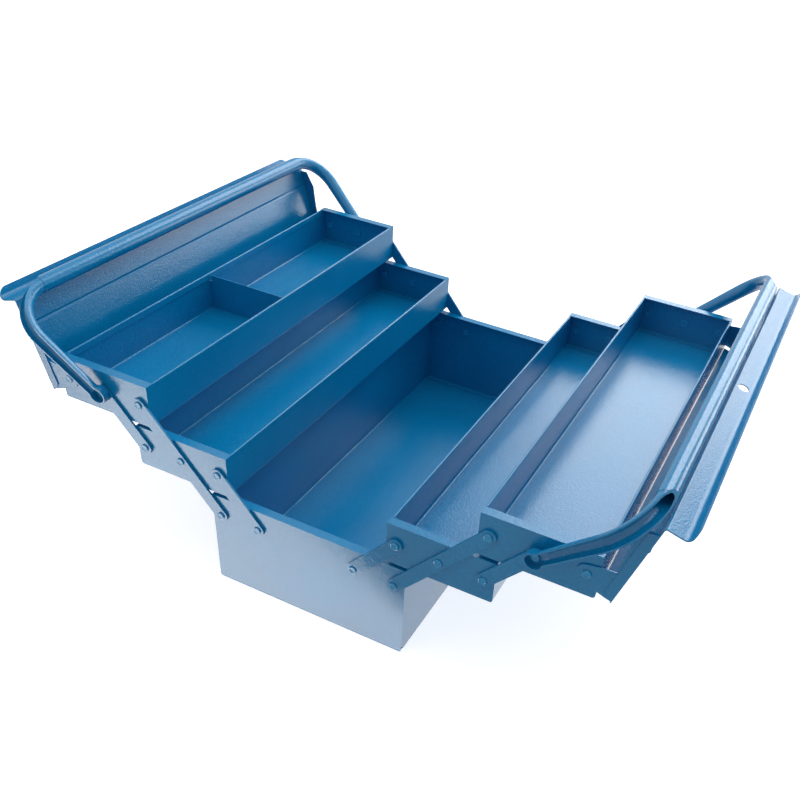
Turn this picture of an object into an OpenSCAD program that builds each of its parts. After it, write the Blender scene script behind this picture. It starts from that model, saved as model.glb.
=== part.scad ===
// Cantilever tool box: a deep base, two stepped trays on each side that swing out on
// parallel arms, a hinged lid on each top tray and a bail handle on each side.
// The box is drawn with its trays swung out and its lids open. The origin is the middle
// of the flat underside, X to the right, Y to the far end and Z up.

/* [Base] */
// Width of the base across both side walls
base_w = 200; // [196:1:216]
// Length of the base and of every tray over their end walls
body_l = 440; // [360:5:520]
// Height of the base rim above the floor it stands on
base_h = 101; // [80:1:140]
// Thickness of the steel sheet
sheet = 1; // [0.8:0.1:1.2]
// Outer radius of the bends along the bottom edges
bend_r = 2.5; // [2:0.1:4]
// Height of the folded hem along a rim
hem_h = 7; // [4:0.5:9]
// Air inside the folded hem
hem_air = 0.3; // [0.2:0.1:0.5]
// Width of the flanges round an end wall
end_flange = 8.5; // [6:0.5:12]
// Gap between the end of a folded hem and the end wall's top flange
corner_gap = 0.8; // [0.4:0.1:1.5]

/* [Trays] */
// Height of a tray
tray_h = 42; // [36:1:50]
// Gap between a tray's floor and the rim below it
tray_gap = 4; // [3:0.5:6]
// Gap between a shut tray's inner wall and the middle of the box
centre_gap = 0.5; // [0.3:0.1:1]
// Distance from the middle of the box to the cross divider, towards the far end
divider_y = -8; // [-60:2:60]
// How far the divider stays below the tray rim
divider_drop = 3; // [1:0.5:8]

/* [Arms and rivets] */
// Distance of the outer pivots from the side of the base
pivot_inset = 10; // [9:0.5:12]
// Depth of the pivots below each rim
pivot_drop = 20; // [17:0.5:22]
// Width of an arm
arm_w = 13; // [11:0.5:14]
// Thickness of an arm
arm_t = 2; // [1.5:0.1:2.2]
// Air between an end wall and the arm beside it
side_air = 0.3; // [0.3:0.05:0.4]
// Diameter of a rivet's shank
rivet_d = 5; // [4:0.1:5.6]
// Radial clearance of the pieces that turn on a rivet
run_fit = 0.075; // [0.05:0.005:0.1]
// Diameter of a rivet's head
head_d = 7.6; // [7:0.1:9]
// Height of a rivet's head
head_h = 1.2; // [1:0.1:1.6]
// Air under a rivet's head
head_air = 0.15; // [0.1:0.05:0.2]
// Diameter of the rolled tail inside the wall
tail_d = 8; // [7:0.1:9]
// Height of the rolled tail
tail_h = 1.4; // [1:0.1:2]

/* [Lids] */
// Angle of an open lid above the level
lid_open = 74; // [72:0.5:76]
// Height of a shut lid above the pivot line
lid_rise = 26; // [24:0.5:28]
// Distance that a lid's edge stands outside its pivot
lid_out = 10.9; // [10.8:0.1:11.5]
// Depth of the rim along the hinge side
rim_d = 12.4; // [10:0.1:12.5]
// Length of the notch at each end of that rim
rim_notch = 8; // [5:0.5:14]
// Depth of the turned down ends of the lid sheet
lid_flange = 8; // [6:0.5:9]
// Distance from the hinge edge to the crease along the lid
crease_u = 62; // [50:1:68]
// Depth of that crease
crease_d = 0.8; // [0.5:0.1:1.2]
// Distance from the hinge edge to the wall that stands along the free edge
wall_u = 86.5; // [84:0.5:88]
// Height of the flat part of that wall above the lid
wall_d = 14; // [13:0.5:15]
// Middle radius of the bend at the foot of the wall
foot_r = 2; // [1.5:0.1:2.5]
// Middle radius of the curl at the top of the wall
curl_r = 5.6; // [4:0.2:7]
// Angle that the curl turns through, up to its straight lip
curl_turn = 80; // [60:1:90]
// Distance between a shut lid's lip and the middle of the box
lip_gap = 4.5; // [4.3:0.1:6]
// Corner radius at the ends of the lip, which clears the handle's corners
lip_r = 12; // [12:0.5:16]
// Diameter of the padlock hole through the wall
lock_d = 10; // [8:0.5:11]
// Radius of the ear round the lid pivot
ear_r = 9; // [8:0.5:10]
// Length of the ear plate along the lid
ear_l = 79; // [76:0.5:81]
// Depth of the ear plate's rear stretch below the lid
ear_waist = 9.6; // [8.6:0.2:11]
// Depth of the ear plate at its widest, nearer the free edge
ear_belly = 12.7; // [11:0.2:13.5]

/* [Handles] */
// Distance from the handle pivot to the middle of the grip
handle_reach = 107; // [103:0.5:111]
// Thickness of the handle's sheet
leg_t = 1.3; // [1:0.1:1.5]
// Outer radius of the gutter of a leg where it leaves the pivot
neck_r = 6.2; // [5.6:0.1:7]
// Outward lean of a leg
splay = 7; // [5:0.5:8]
// How far the gutter's lips reach past its middle
lip_over = 1.5; // [0.5:0.1:2.5]
// Outer diameter of the cup round the pivot
cup_d = 16.5; // [15.5:0.1:17.5]
// Radius of the handle's two corners, to the middle of the tube
corner_r = 37; // [34:0.5:40]
// Outer diameter of the rolled grip
grip_d = 15; // [14:0.2:16]
// Height of the step where the rolled grip begins
roll_step = 0.3; // [0.2:0.1:0.5]
// Where the mouth in the side of the tube ends, from the start of the straight grip
mouth_l = 6; // [4:0.5:12]
// Angle at which the mouth's edge leaves the grip
mouth_exit = 20; // [15:1:30]
// Air between the lowered grip and the open lid
grip_air = 2; // [1:0.1:3]
// Air between a lid's end and the leg beside it
leg_air = 0.4; // [0.3:0.05:0.6]

/* [Hidden] */
$fn = 48;
// Sizes that follow from the values above
tray_w = base_w / 2 - 2 * centre_gap;
end_y = body_l / 2;
arm_rise = tray_h + tray_gap;
hem_in = 2 * sheet + hem_air;
bore_r = rivet_d / 2 + run_fit;
ear_face = end_y + side_air + sheet;
lid_half = ear_face + sheet;
web_in = lid_half + leg_air;
web_out = web_in + leg_t;
// Places of the pivots on the right side. The sideways reach of one arm is the spacing of
// the pivots, so that a folded side stands on its own half of the base.
pivot_pitch = base_w / 4 - pivot_inset;
base_z = base_h - pivot_drop;
long_x = base_w / 2 - pivot_inset;
short_x = long_x - pivot_pitch;
mid_z = base_z + arm_rise;
top_z = mid_z + arm_rise;
// The inner side of each tray, and the three pivots of each
mid_in = short_x + pivot_pitch - (short_x - pivot_pitch - centre_gap);
top_in = mid_in + 2 * pivot_pitch;
mid_pivots = [for (i = [1:3]) short_x + i * pivot_pitch];
top_pivots = [for (i = [3:5]) short_x + i * pivot_pitch];
lid_pivot = top_pivots[2];
handle_pivot = top_pivots[1];
// The lip of a shut lid reaches the middle of the box, less the gap there
lid_w = lid_out + (lid_pivot - 4 * pivot_pitch) - lip_gap;
// Where the curl of the lid ends and its straight lip begins
curl_end = [wall_u + curl_r * (1 - cos(curl_turn)), -wall_d - curl_r * sin(curl_turn)];
// Middle of the padlock hole, in the flat of the wall
lock_n = -(foot_r + wall_d + 1.2) / 2;
// The lowered handle leans towards the open lid
pivot_n = lid_rise + pivot_pitch * sin(lid_open);
grip_n = sheet / 2 + grip_air + grip_d / 2;
handle_open = lid_open - asin((pivot_n - grip_n) / handle_reach);
// A leg's middle line leaves the pivot at leg_y and leans outwards as far as the corner
grip_r = grip_d / 2;
leg_y = web_in + neck_r;
corner_s = handle_reach - corner_r;
bend_s = corner_s - corner_r * sin(splay);
bend_y = leg_y + bend_s * tan(splay);
corner_y = bend_y - corner_r * cos(splay);
// The mouth's edge goes on from the gutter's lips in an arc and leaves the grip in a
// straight line. These are where the arc begins, where the edge ends, and the arc's radius.
lip_at = [bend_s - lip_over * sin(splay), bend_y + lip_over * cos(splay)];
lip_to = [handle_reach + grip_r, corner_y - mouth_l];
exit_way = [sin(mouth_exit), -cos(mouth_exit)];
mouth_turn = 90 + splay - mouth_exit;
mouth_arm = cross(lip_to - lip_at, exit_way) / cross([cos(splay), sin(splay)], exit_way);
mouth_r = mouth_arm / tan(mouth_turn / 2);

// Everything is drawn for the right side and the near end. The other side and the other
// end are its mirror images.
module left() mirror([1, 0, 0]) children();
module far() mirror([0, 1, 0]) children();
module both_ends() {
    children();
    far() children();
}

// An outline in X and Z, drawn out along Y from a given place towards the near end
module slab(y, depth)
    translate([0, y, 0])
        rotate([90, 0, 0])
            linear_extrude(depth) children();

// A box outline, open at the top, whose two bottom corners are round
module tub_outline(x0, x1, z0, z1, r) {
    translate([x0, z0 + r]) square([x1 - x0, z1 - z0 - r]);
    translate([x0 + r, z0]) square([x1 - x0 - 2 * r, r + 0.01]);
    for (x = [x0 + r, x1 - r])
        translate([x, z0 + r]) circle(r);
}

// One long sheet bent into a floor and two walls. Its top edges are folded inwards, apart
// from a plain stretch at each end where the end wall's flange lies against it.
module shell(x0, w, z0, h) {
    plain = end_flange + corner_gap;
    fold = z0 + h - hem_in / 2;
    slab(end_y, body_l)
        difference() {
            tub_outline(x0, x0 + w, z0, fold, bend_r);
            tub_outline(x0 + sheet, x0 + w - sheet, z0 + sheet, z0 + h, bend_r - sheet);
        }
    slab(end_y - plain, body_l - 2 * plain) {
        hem(x0 + hem_in / 2, fold);
        translate([2 * x0 + w, 0]) mirror([1, 0]) hem(x0 + hem_in / 2, fold);
    }
    both_ends()
        slab(-end_y + plain, plain)
            for (x = [x0, x0 + w - sheet])
                translate([x, fold - 0.01]) square([sheet, hem_in / 2 + 0.01]);
}

// The folded top edge of a wall: a round bend and a short leg hanging inside the wall
module hem(x, z) {
    difference() {
        translate([x, z]) circle(hem_in / 2, $fn = 32);
        translate([x, z]) circle(hem_air / 2, $fn = 16);
        translate([x - hem_in, z - hem_in]) square([2 * hem_in, hem_in]);
    }
    translate([x + hem_air / 2, z - hem_h + hem_in / 2])
        square([sheet, hem_h - hem_in / 2 + 0.01]);
}

// A pan that closes the near end of a shell, with flanges along its floor, sides and top
module end_pan(x0, w, z0, h, pivots, pivot_z) {
    difference() {
        slab(-end_y + end_flange, end_flange)
            tub_outline(x0 + sheet, x0 + w - sheet, z0 + sheet, z0 + h, bend_r - sheet);
        slab(-end_y + end_flange + 1, end_flange + 1 - sheet)
            tub_outline(x0 + 2 * sheet, x0 + w - 2 * sheet, z0 + 2 * sheet, z0 + h - sheet,
                bend_r - sheet);
        for (x = pivots)
            translate([x, -end_y + sheet + 1, pivot_z])
                rotate([90, 0, 0]) cylinder(d = rivet_d, h = sheet + 2);
    }
}

// A rivet through the near end wall. Its head stands over a stack of the given thickness.
module rivet(x, z, stack) {
    reach = sheet + stack + head_air;
    translate([x, -end_y + sheet, z])
        rotate([90, 0, 0]) {
            cylinder(d = rivet_d, h = reach + 0.1);
            translate([0, 0, reach]) rivet_head();
            translate([0, 0, -tail_h])
                difference() {
                    cylinder(d = tail_d, h = tail_h);
                    translate([0, 0, -0.1]) cylinder(d = rivet_d - 1.6, h = tail_h - 0.2);
                }
        }
}

// A flat head with a round edge and a wide shallow dish in its middle
module rivet_head() {
    r = head_d / 2;
    rotate_extrude()
        polygon([[0, 0], [r, 0], [r, 0.45 * head_h], [0.95 * r, 0.8 * head_h],
            [0.84 * r, head_h], [0.68 * r, head_h], [0.58 * r, 0.7 * head_h],
            [0, 0.6 * head_h]]);
}

// A flat arm with round ends, on the near end, through the given places
module arm(x, z, holes) {
    reach = norm([pivot_pitch, arm_rise]);
    last = reach * (holes - 1);
    translate([x, 0, z])
        rotate([0, -atan2(arm_rise, pivot_pitch), 0])
            slab(-end_y - side_air, arm_t)
                difference() {
                    union() {
                        translate([0, -arm_w / 2]) square([last, arm_w]);
                        for (s = [0, last])
                            translate([s, 0]) circle(d = arm_w);
                    }
                    for (i = [0:holes - 1])
                        translate([i * reach, 0]) circle(bore_r);
                }
}

// Places what is drawn in the lid's own outline, along the lid and across it
module on_lid()
    translate([lid_pivot, 0, top_z])
        rotate([0, -lid_open, 0])
            translate([-lid_out, 0, -lid_rise]) children();

// The lid sheet: a panel with a fine crease, a rim along the hinge side and, along the
// free side, a standing wall with a curled lip. Its ends are turned down.
module lid_panel() {
    on_lid()
        difference() {
            union() {
                slab(lid_half, 2 * lid_half) lid_profile();
                slab(lid_half - rim_notch, 2 * (lid_half - rim_notch))
                    translate([-sheet / 2, 0]) square([sheet, rim_d]);
                both_ends()
                    slab(-ear_face, sheet)
                        polygon([[1, -0.5 * sheet], [ear_l - 0.5, -0.5 * sheet],
                            [ear_l - 2.5, lid_flange - 2], [ear_l - 4.5, lid_flange],
                            [5, lid_flange], [1, lid_flange - 4]]);
            }
            lip_corners();
            lock_hole();
        }
}

// The lid sheet seen from its end: the creased panel, the bend at the foot of the wall, the
// wall, the curl and the straight lip that the curl ends in
module lid_profile() {
    t = sheet / 2;
    along = [sin(curl_turn), -cos(curl_turn)];
    across = t * [cos(curl_turn), sin(curl_turn)];
    lip = (lid_w - curl_end[0] - across[0]) / along[0] * along;
    circle(t);
    polygon([[0, t], [crease_u - 2, t], [crease_u, t - crease_d], [crease_u + 2, t],
        [wall_u - foot_r, t], [wall_u - foot_r, -t], [crease_u + 2, -t],
        [crease_u, -t - crease_d], [crease_u - 2, -t], [0, -t]]);
    translate([wall_u - foot_r, -foot_r]) bent(foot_r, 0, 90);
    translate([wall_u - t, -wall_d]) square([sheet, wall_d - foot_r]);
    translate([wall_u + curl_r, -wall_d]) bent(curl_r, 180, 180 + curl_turn);
    polygon([curl_end + across, curl_end + across + lip, curl_end - across + lip,
        curl_end - across]);
}

// A quarter turn or less of bent sheet, by its middle radius
module bent(r, from, to) {
    reach = 2 * r;
    between = (from + to) / 2;
    intersection() {
        difference() {
            circle(r + sheet / 2);
            circle(r - sheet / 2);
        }
        polygon([[0, 0], reach * [cos(from), sin(from)],
            1.5 * reach * [cos(between), sin(between)], reach * [cos(to), sin(to)]]);
    }
}

// What is cut away to round the ends of the lip, in short straight steps
module lip_corners()
    both_ends()
        translate([lid_w, -lid_half, -wall_d - 2 * curl_r])
            linear_extrude(wall_d + 2 * curl_r)
                polygon(concat([[-lip_r, -1], [1, -1], [1, lip_r]],
                    [for (a = [0:10:90]) lip_r * [cos(a) - 1, 1 - sin(a)]]));

module lock_hole()
    translate([wall_u - 2, 0, lock_n])
        rotate([0, 90, 0]) cylinder(d = lock_d, h = 4);

// The plate that hangs the lid on its pivot at the near end
module lid_ear() {
    p = [lid_out, lid_rise];
    on_lid()
        slab(-end_y - side_air, sheet)
            difference() {
                union() {
                    polygon([[0, sheet / 2], [ear_l, sheet / 2],
                        [ear_l - 2.2, 0.6 * ear_belly], [ear_l - 20.3, ear_belly],
                        [ear_l - 42.3, ear_waist], [ear_l - 51.3, 0.92 * ear_waist],
                        p + [1.7 * ear_r, -1.42 * ear_r], p + [1.3 * ear_r, -0.4 * ear_r],
                        p + [ear_r * cos(20), ear_r * sin(20)], p, p + [-ear_r, 0],
                        [0, 5]]);
                    translate(p) circle(ear_r);
                }
                translate(p) circle(bore_r);
            }
}

// A leg and a corner at the near end of a handle that points along X from its pivot, as a
// solid tube whose surface is lowered by a given depth
module leg_tube(depth, start) {
    leg_l = bend_s / cos(splay);
    tube = grip_r - roll_step - depth;
    translate([0, -leg_y, 0])
        rotate([0, 0, -splay]) {
            translate([start, 0, 0])
                rotate([0, 90, 0]) cylinder(r1 = neck_r - depth, r2 = tube, h = leg_l - start);
            translate([leg_l, corner_r, 0])
                rotate([0, 0, -90])
                    rotate_extrude(angle = 91 + splay) translate([corner_r, 0]) circle(tube);
        }
}

module grip_bar(r)
    translate([handle_reach, corner_y, 0])
        rotate([90, 0, 0]) cylinder(r = r, h = 2 * corner_y);

// What lies outside the lips of the cup and the gutter, and in the mouth of the tube
module outside_lips() {
    far = leg_y + 3 * grip_d;
    back = lip_at[1] - (lip_at[0] + cup_d) * tan(splay);
    middle = lip_at + mouth_r * [sin(splay), -cos(splay)];
    arc = [for (i = [0:12]) middle + mouth_r * [-sin(splay - i * mouth_turn / 12),
        cos(splay - i * mouth_turn / 12)]];
    exit = lip_to + exit_way / sin(mouth_exit);
    translate([0, 0, -grip_d])
        linear_extrude(2 * grip_d)
            mirror([0, 1])
                polygon(concat([[-cup_d, far], [-cup_d, back]], arc, [exit, [exit[0], far]]));
}

// The cup round the pivot at the near end, and the hollow and the bore inside it
module cup()
    translate([0, -web_in, 0])
        rotate([90, 0, 0]) {
            cylinder(d1 = cup_d - 2, d2 = cup_d, h = 1);
            translate([0, 0, 1]) cylinder(d = cup_d, h = neck_r + lip_over);
        }

module cup_hollow() {
    translate([0, -web_out, 0])
        rotate([90, 0, 0]) cylinder(d = cup_d - 2 * leg_t, h = neck_r + lip_over + 1);
    translate([0, -web_in + 1, 0])
        rotate([90, 0, 0]) cylinder(r = bore_r, h = leg_t + 2);
}

// A handle: cups round the pivots, gutter shaped legs that roll closed in the corners, and
// a rolled grip between them
module handle()
    translate([handle_pivot, 0, top_z])
        rotate([0, -handle_open, 0])
            difference() {
                union() {
                    both_ends() {
                        cup();
                        leg_tube(0, 1);
                    }
                    grip_bar(grip_r);
                }
                both_ends() {
                    leg_tube(leg_t, 4);
                    cup_hollow();
                    outside_lips();
                }
                grip_bar(grip_r - leg_t);
            }

// A cross plate with a foot on the floor and a tab up each wall
module divider() {
    x0 = top_in + sheet;
    x1 = top_in + tray_w - sheet;
    z0 = top_z + pivot_drop - tray_h + sheet;
    z1 = top_z + pivot_drop - divider_drop - hem_h;
    foot = 9;
    difference() {
        slab(divider_y + foot, foot) tub_outline(x0, x1, z0, z1, bend_r - sheet);
        slab(divider_y + foot + 1, foot + 1 - sheet)
            tub_outline(x0 + sheet, x1 - sheet, z0 + sheet, z1 + 1, bend_r - sheet);
    }
    slab(divider_y + sheet, sheet)
        translate([x0 + hem_in, z1 - 0.1]) square([x1 - x0 - 2 * hem_in, hem_h + 0.1]);
}

// The whole tray parts of the right side, by level
module middle_shell() shell(mid_in, tray_w, mid_z + pivot_drop - tray_h, tray_h);
module upper_shell() shell(top_in, tray_w, top_z + pivot_drop - tray_h, tray_h);
module middle_pan()
    end_pan(mid_in, tray_w, mid_z + pivot_drop - tray_h, tray_h, mid_pivots, mid_z);
module upper_pan()
    end_pan(top_in, tray_w, top_z + pivot_drop - tray_h, tray_h, top_pivots, top_z);
module base_pan()
    end_pan(-base_w / 2, base_w, 0, base_h, [-long_x, -short_x, short_x, long_x], base_z);

module middle_rivets()
    both_ends()
        for (x = mid_pivots)
            rivet(x, mid_z, side_air + arm_t);

module upper_rivets()
    both_ends() {
        rivet(top_pivots[0], top_z, side_air + arm_t);
        rivet(handle_pivot, top_z, web_out - end_y);
        rivet(lid_pivot, top_z, side_air + sheet);
    }

module base_shell() color("steelblue") shell(-base_w / 2, base_w, 0, base_h);
module base_near_end() color("steelblue") base_pan();
module base_far_end() color("steelblue") far() base_pan();
module base_rivets()
    color("steelblue")
        both_ends()
            for (x = [-long_x, -short_x, short_x, long_x])
                rivet(x, base_z, side_air + arm_t);

module left_middle_tray_shell() color("steelblue") left() middle_shell();
module left_middle_tray_near_end() color("steelblue") left() middle_pan();
module left_middle_tray_far_end() color("steelblue") left() far() middle_pan();
module left_middle_tray_rivets() color("steelblue") left() middle_rivets();
module right_middle_tray_shell() color("steelblue") middle_shell();
module right_middle_tray_near_end() color("steelblue") middle_pan();
module right_middle_tray_far_end() color("steelblue") far() middle_pan();
module right_middle_tray_rivets() color("steelblue") middle_rivets();

module left_upper_tray_shell() color("steelblue") left() upper_shell();
module left_upper_tray_near_end() color("steelblue") left() upper_pan();
module left_upper_tray_far_end() color("steelblue") left() far() upper_pan();
module left_upper_tray_rivets() color("steelblue") left() upper_rivets();
module left_upper_tray_divider() color("steelblue") left() divider();
module right_upper_tray_shell() color("steelblue") upper_shell();
module right_upper_tray_near_end() color("steelblue") upper_pan();
module right_upper_tray_far_end() color("steelblue") far() upper_pan();
module right_upper_tray_rivets() color("steelblue") upper_rivets();

module left_near_lower_short_arm() color("steelblue") left() arm(short_x, base_z, 2);
module left_far_lower_short_arm() color("steelblue") left() far() arm(short_x, base_z, 2);
module left_near_long_arm() color("steelblue") left() arm(long_x, base_z, 3);
module left_far_long_arm() color("steelblue") left() far() arm(long_x, base_z, 3);
module left_near_upper_short_arm() color("steelblue") left() arm(mid_pivots[2], mid_z, 2);
module left_far_upper_short_arm() color("steelblue") left() far() arm(mid_pivots[2], mid_z, 2);
module right_near_lower_short_arm() color("steelblue") arm(short_x, base_z, 2);
module right_far_lower_short_arm() color("steelblue") far() arm(short_x, base_z, 2);
module right_near_long_arm() color("steelblue") arm(long_x, base_z, 3);
module right_far_long_arm() color("steelblue") far() arm(long_x, base_z, 3);
module right_near_upper_short_arm() color("steelblue") arm(mid_pivots[2], mid_z, 2);
module right_far_upper_short_arm() color("steelblue") far() arm(mid_pivots[2], mid_z, 2);

module left_lid_panel() color("steelblue") left() lid_panel();
module left_lid_near_ear() color("steelblue") left() lid_ear();
module left_lid_far_ear() color("steelblue") left() far() lid_ear();
module right_lid_panel() color("steelblue") lid_panel();
module right_lid_near_ear() color("steelblue") lid_ear();
module right_lid_far_ear() color("steelblue") far() lid_ear();
module left_handle() color("steelblue") left() handle();
module right_handle() color("steelblue") handle();

base_shell();
base_near_end();
base_far_end();
base_rivets();
left_middle_tray_shell();
left_middle_tray_near_end();
left_middle_tray_far_end();
left_middle_tray_rivets();
right_middle_tray_shell();
right_middle_tray_near_end();
right_middle_tray_far_end();
right_middle_tray_rivets();
left_upper_tray_shell();
left_upper_tray_near_end();
left_upper_tray_far_end();
left_upper_tray_rivets();
left_upper_tray_divider();
right_upper_tray_shell();
right_upper_tray_near_end();
right_upper_tray_far_end();
right_upper_tray_rivets();
left_near_lower_short_arm();
left_far_lower_short_arm();
left_near_long_arm();
left_far_long_arm();
left_near_upper_short_arm();
left_far_upper_short_arm();
right_near_lower_short_arm();
right_far_lower_short_arm();
right_near_long_arm();
right_far_long_arm();
right_near_upper_short_arm();
right_far_upper_short_arm();
left_lid_panel();
left_lid_near_ear();
left_lid_far_ear();
right_lid_panel();
right_lid_near_ear();
right_lid_far_ear();
left_handle();
right_handle();
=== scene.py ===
"""An open cantilever tool box of blue textured enamel, on a white studio floor."""

import math

import bpy
from mathutils import Matrix, Vector

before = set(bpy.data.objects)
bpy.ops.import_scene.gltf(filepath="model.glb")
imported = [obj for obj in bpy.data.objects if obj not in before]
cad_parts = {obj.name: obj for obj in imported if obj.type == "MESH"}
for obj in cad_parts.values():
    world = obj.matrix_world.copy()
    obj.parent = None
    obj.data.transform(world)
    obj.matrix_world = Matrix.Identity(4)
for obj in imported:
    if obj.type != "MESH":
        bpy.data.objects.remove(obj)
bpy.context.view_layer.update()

# Camera, solved from the box's straight edges in the 800 pixel photograph
IMAGE = 800
FOCAL = 900.4
CENTRE = (456.8, 480.1)
EYE = Vector((0.3432, -0.7137, 0.6285))
FORWARD = Vector((-0.30307, 0.73040, -0.61209))
RIGHT = Vector((0.89641, 0.43649, 0.07701))

# Enamel colours, in linear light
BLUE = (0.0022, 0.237, 0.505)
BLUE_DEEP = (0.0014, 0.190, 0.425)
BLUE_PALE = (0.0050, 0.300, 0.590)

# How brightly the studio stands behind the box, to the camera and in reflections
STUDIO_WHITE = 1.0
# How brightly the studio lights the box from all sides
STUDIO_LIGHT = 0.38
FLOOR_SIZE = 12
FLOOR_COLOUR = (0.80, 0.80, 0.80, 1)
# The part of the floor's whiteness that the box's shadow can't darken
FLOOR_LIFT = 0.75
# How much of that the enamel mirrors, next to the floor's own light
MIRRORED_LIFT = 0.15
# How far the lamps that stand for the table lie above the floor
TABLE_HEIGHT = 0.0005


def aim_camera():
    """The camera at the photograph's viewpoint, its lens shifted to the photograph's centre."""
    forward = FORWARD.normalized()
    right = (RIGHT - RIGHT.dot(forward) * forward).normalized()
    up = right.cross(forward)
    data = bpy.data.cameras.new("camera")
    data.sensor_width = 36
    data.lens = FOCAL / IMAGE * data.sensor_width
    data.shift_x = -(CENTRE[0] - IMAGE / 2) / IMAGE
    data.shift_y = (CENTRE[1] - IMAGE / 2) / IMAGE
    data.clip_start = 0.02
    camera = bpy.data.objects.new("camera", data)
    turn = Matrix((right, up, -forward)).transposed()
    camera.matrix_world = Matrix.Translation(EYE) @ turn.to_4x4()
    bpy.context.collection.objects.link(camera)
    bpy.context.scene.camera = camera


def area_light(name, place, target, size, radiance, height=None, mirrored_only=False):
    """A soft lamp that looks at the target and that the camera itself doesn't see. Its height
    is its size unless it's given, and a lamp can be one that only shows in reflections."""
    data = bpy.data.lights.new(name, "AREA")
    data.shape = "RECTANGLE"
    data.size = size
    data.size_y = height or size
    data.energy = radiance * math.pi * data.size * data.size_y
    lamp = bpy.data.objects.new(name, data)
    lamp.location = place
    look = Vector(target) - Vector(place)
    lamp.rotation_euler = look.to_track_quat("-Z", "Y").to_euler()
    lamp.visible_camera = False
    lamp.visible_diffuse = not mirrored_only
    bpy.context.collection.objects.link(lamp)
    return lamp


def table_patch(name, x, y, width, depth, radiance, turn=0):
    """A bright patch of the table, which only shows as a reflection in the box."""
    place = (x, y, TABLE_HEIGHT)
    patch = area_light(name, place, (x, y, 1), width, radiance, height=depth, mirrored_only=True)
    patch.rotation_euler = (math.pi, 0, turn)


def seen_or_mirrored(tree, mirrored=1.0):
    """A socket that is 1 for rays from the camera, as given for rays that a surface mirrors,
    and 0 for the rays that light a surface."""
    path = tree.nodes.new("ShaderNodeLightPath")
    gloss = tree.nodes.new("ShaderNodeMath")
    gloss.operation = "MULTIPLY"
    gloss.inputs[1].default_value = mirrored
    tree.links.new(path.outputs["Is Glossy Ray"], gloss.inputs[0])
    camera_or_gloss = tree.nodes.new("ShaderNodeMath")
    camera_or_gloss.operation = "MAXIMUM"
    either = tree.nodes.new("ShaderNodeMath")
    either.operation = "MAXIMUM"
    tree.links.new(path.outputs["Is Camera Ray"], camera_or_gloss.inputs[0])
    tree.links.new(gloss.outputs[0], camera_or_gloss.inputs[1])
    tree.links.new(camera_or_gloss.outputs[0], either.inputs[0])
    tree.links.new(path.outputs["Is Transmission Ray"], either.inputs[1])
    return either.outputs[0]


def white_world():
    """White to the camera and in reflections, and a plainer light on the object."""
    world = bpy.data.worlds.new("studio")
    world.use_nodes = True
    bpy.context.scene.world = world
    tree = world.node_tree
    tree.nodes.clear()
    out = tree.nodes.new("ShaderNodeOutputWorld")
    mix = tree.nodes.new("ShaderNodeMixShader")
    lit = tree.nodes.new("ShaderNodeBackground")
    seen = tree.nodes.new("ShaderNodeBackground")
    lit.inputs["Strength"].default_value = STUDIO_LIGHT
    lit.inputs["Color"].default_value = (1, 1, 1, 1)
    seen.inputs["Strength"].default_value = STUDIO_WHITE
    seen.inputs["Color"].default_value = (1, 1, 1, 1)
    tree.links.new(seen_or_mirrored(tree), mix.inputs[0])
    tree.links.new(lit.outputs[0], mix.inputs[1])
    tree.links.new(seen.outputs[0], mix.inputs[2])
    tree.links.new(mix.outputs[0], out.inputs["Surface"])


def white_floor():
    """A white floor that keeps the box's soft shadow."""
    bpy.ops.mesh.primitive_plane_add(size=FLOOR_SIZE, location=(0, 0, 0))
    floor = bpy.context.object
    floor.name = "floor"
    material = bpy.data.materials.new("floor_white")
    material.use_nodes = True
    tree = material.node_tree
    shader = tree.nodes["Principled BSDF"]
    shader.inputs["Base Color"].default_value = FLOOR_COLOUR
    shader.inputs["Roughness"].default_value = 0.9
    shader.inputs["Specular IOR Level"].default_value = 0.1
    shader.inputs["Emission Color"].default_value = (1, 1, 1, 1)
    lift = tree.nodes.new("ShaderNodeMath")
    lift.operation = "MULTIPLY"
    lift.inputs[1].default_value = FLOOR_LIFT
    tree.links.new(seen_or_mirrored(tree, MIRRORED_LIFT), lift.inputs[0])
    tree.links.new(lift.outputs[0], shader.inputs["Emission Strength"])
    floor.data.materials.append(material)


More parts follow.
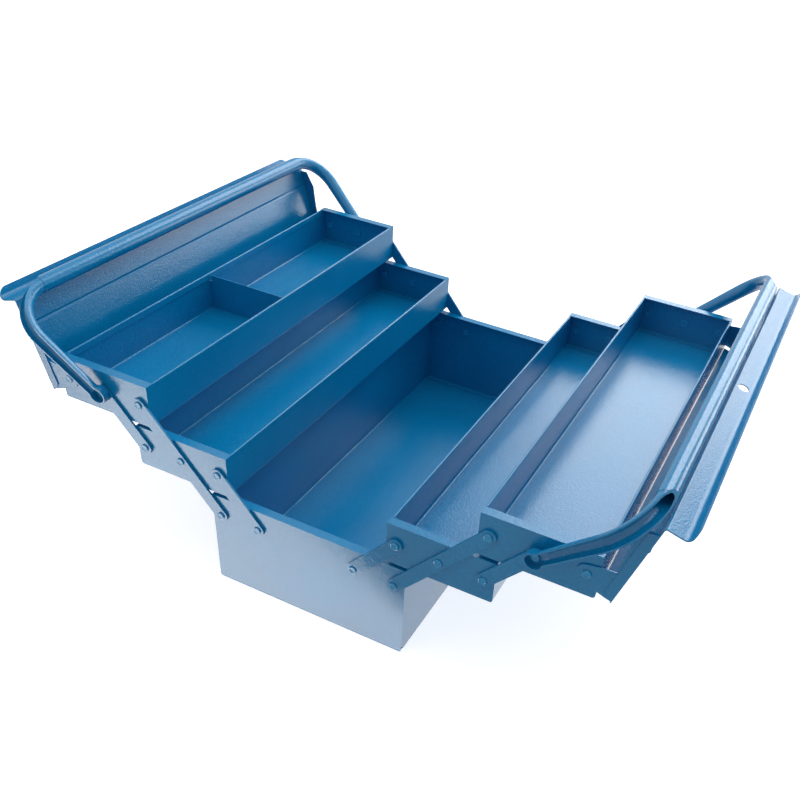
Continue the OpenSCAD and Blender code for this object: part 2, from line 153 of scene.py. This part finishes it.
def enamel(name, grain, grain_depth, colours, roughness):
    """Glossy textured enamel: a fine hammered grain on waves of twice its length, colour that
    changes with the grain and in slow clouds, and a gloss that changes with the clouds."""
    material = bpy.data.materials.new(name)
    material.use_nodes = True
    tree = material.node_tree
    shader = tree.nodes["Principled BSDF"]
    place = tree.nodes.new("ShaderNodeTexCoord")

    def noise(scale, detail, harshness):
        node = tree.nodes.new("ShaderNodeTexNoise")
        node.inputs["Scale"].default_value = scale
        node.inputs["Detail"].default_value = detail
        node.inputs["Roughness"].default_value = harshness
        tree.links.new(place.outputs["Object"], node.inputs["Vector"])
        return node

    fine = noise(grain, 2, 0.55)
    cloud = noise(14, 3, 0.5)
    wave = noise(grain / 2.0, 1, 0.4)

    tone = tree.nodes.new("ShaderNodeValToRGB")
    tone.color_ramp.elements[0].position = 0.40
    tone.color_ramp.elements[0].color = (*colours[0], 1)
    tone.color_ramp.elements[1].position = 0.62
    tone.color_ramp.elements[1].color = (*colours[1], 1)
    blend = tree.nodes.new("ShaderNodeMix")
    blend.data_type = "FLOAT"
    blend.inputs["Factor"].default_value = 0.3
    tree.links.new(fine.outputs["Fac"], blend.inputs["A"])
    tree.links.new(cloud.outputs["Fac"], blend.inputs["B"])
    tree.links.new(blend.outputs["Result"], tone.inputs["Fac"])
    tree.links.new(tone.outputs["Color"], shader.inputs["Base Color"])

    rough = tree.nodes.new("ShaderNodeMapRange")
    rough.inputs["From Min"].default_value = 0.3
    rough.inputs["From Max"].default_value = 0.7
    rough.inputs["To Min"].default_value = roughness[0]
    rough.inputs["To Max"].default_value = roughness[1]
    tree.links.new(cloud.outputs["Fac"], rough.inputs["Value"])
    tree.links.new(rough.outputs["Result"], shader.inputs["Roughness"])

    def bump(height, depth):
        node = tree.nodes.new("ShaderNodeBump")
        node.inputs["Strength"].default_value = 1.0
        node.inputs["Distance"].default_value = depth
        tree.links.new(height.outputs["Fac"], node.inputs["Height"])
        return node

    slow = bump(wave, 0.5 * grain_depth)
    quick = bump(fine, grain_depth)
    tree.links.new(slow.outputs["Normal"], quick.inputs["Normal"])
    tree.links.new(quick.outputs["Normal"], shader.inputs["Normal"])

    shader.inputs["IOR"].default_value = 1.5
    return material


aim_camera()
white_world()
white_floor()
area_light("back", (0.25, 1.9, 1.45), (0.05, 0, 0.15), 1.5, 4.3, height=1.5)
area_light("back_low", (1.35, 1.9, 0.4), (0, 0, 0.2), 0.9, 3.5, height=0.8)
area_light("key", (-1.2, -1.0, 1.9), (0, 0, 0.15), 1.6, 0.8)
area_light("top", (0.3, 0.3, 2.2), (0, 0, 0.1), 1.8, 1.5)
# A bright one in front of the base, square to the camera, and a weaker one on its right
table_patch("table_front", -0.312, -0.374, 0.88, 0.15, 4.6, math.atan2(RIGHT.y, RIGHT.x))
table_patch("table_right", 0.2, 0.118, 0.2, 0.665, 1.1)

sheet_enamel = enamel("sheet_enamel", 760, 0.00017, (BLUE_DEEP, BLUE), (0.12, 0.20))
bar_enamel = enamel("bar_enamel", 420, 0.00018, (BLUE_DEEP, BLUE), (0.12, 0.20))
rivet_enamel = enamel("rivet_enamel", 300, 0.00006, (BLUE, BLUE_PALE), (0.10, 0.16))

for name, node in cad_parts.items():
    if "rivets" in name:
        chosen = rivet_enamel
    elif name.endswith("_arm") or name.endswith("_handle"):
        chosen = bar_enamel
    else:
        chosen = sheet_enamel
    for slot in node.material_slots:
        slot.material = chosen

bpy.context.scene.view_settings.view_transform = "Standard"
